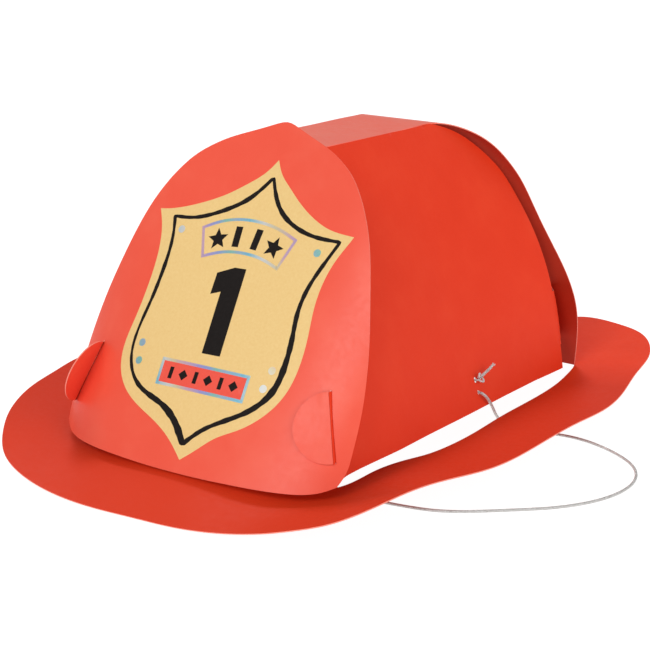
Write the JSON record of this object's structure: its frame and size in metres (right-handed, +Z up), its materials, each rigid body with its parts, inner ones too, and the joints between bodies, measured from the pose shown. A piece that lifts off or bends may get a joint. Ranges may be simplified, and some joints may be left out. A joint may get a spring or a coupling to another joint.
{
  "type": "card party fire hat",
  "caption": "Folded red card party hat shaped like a fire helmet, with a printed shield, lock tabs and a loose elastic chin cord.",
  "frame": {"origin": "middle of the hat's outline on the plane that it stands on", "axes": "-Y is the front, where the shield is, +X is the side where the loose cord lies, +Z is up"},
  "size_m": [0.2746, 0.3104, 0.147],
  "materials": {
    "red_card": "satin printed card",
    "coral_card": "satin printed card",
    "elastic": "silver lame braid",
    "print_tan": "matt ink",
    "print_black": "matt ink",
    "print_foil": "holographic foil"
  },
  "bodies": {
    "hat": {"brim": "red_card", "brim_front_glue_tab": "red_card", "front_panel": "coral_card", "top_panel": "red_card", "top_front_glue_tab": "red_card", "rear_panel": "red_card", "side_panel_right": "red_card", "side_panel_left": "red_card", "elastic_knot_right": "elastic", "elastic_knot_left": "elastic", "elastic_cord": "elastic"},
    "front_right_lock_tab": {"front_lock_tab_right": "coral_card"},
    "rear_right_lock_tab": {"rear_lock_tab_right": "red_card"},
    "front_left_lock_tab": {"front_lock_tab_left": "coral_card"},
    "rear_left_lock_tab": {"rear_lock_tab_left": "red_card"}
  },
  "joints": [
    {"name": "front_right_tab_fold", "type": "hinge", "parent": "hat", "child": "front_right_lock_tab", "pos_m": [0.06593, -0.10505, 0.03826], "axis": [-0.306, 0.3403, 0.8892], "range_deg": [0, 110]},
    {"name": "rear_right_tab_fold", "type": "hinge", "parent": "hat", "child": "rear_right_lock_tab", "pos_m": [0.06498, 0.09141, 0.04076], "axis": [0.043, 0.1499, -0.9878], "range_deg": [0, 110]},
    {"name": "front_left_tab_fold", "type": "hinge", "parent": "hat", "child": "front_left_lock_tab", "pos_m": [-0.06397, -0.10505, 0.03826], "axis": [-0.306, -0.3403, -0.8892], "range_deg": [-54, 54]},
    {"name": "rear_left_tab_fold", "type": "hinge", "parent": "hat", "child": "rear_left_lock_tab", "pos_m": [-0.06302, 0.09141, 0.04076], "axis": [0.043, -0.1499, 0.9878], "range_deg": [0, 110]}
  ]
}
